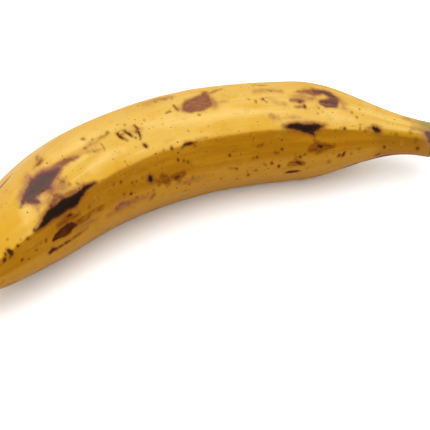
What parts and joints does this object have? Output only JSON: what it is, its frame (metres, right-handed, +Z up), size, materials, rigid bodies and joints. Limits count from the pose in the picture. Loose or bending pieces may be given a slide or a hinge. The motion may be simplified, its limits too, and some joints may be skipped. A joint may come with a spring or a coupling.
{
  "type": "plantain",
  "caption": "Ripe whole plantain lying on its side: a bent, softly ridged yellow fruit with dark bruises, a cut stalk stub and a dried blossom tip.",
  "frame": {"origin": "middle of the bounding box's base, on the surface that the fruit rests on", "axes": "+X along the fruit towards the stalk, +Y towards the outer, convex side of its bend, +Z up"},
  "size_m": [0.2516, 0.0836, 0.0496],
  "materials": {
    "peel": "waxy ripe peel, golden yellow on top and amber below, with purple-grey bruises, near-black streaks along the ridges and fine brown specks",
    "stalk_cut": "dry, dark brown cut face of the stalk, with open fibres",
    "dry_tip": "matte, shrivelled, near-black remnant of the blossom"
  },
  "bodies": {
    "root": {"plantain": "peel"}
  },
  "joints": []
}
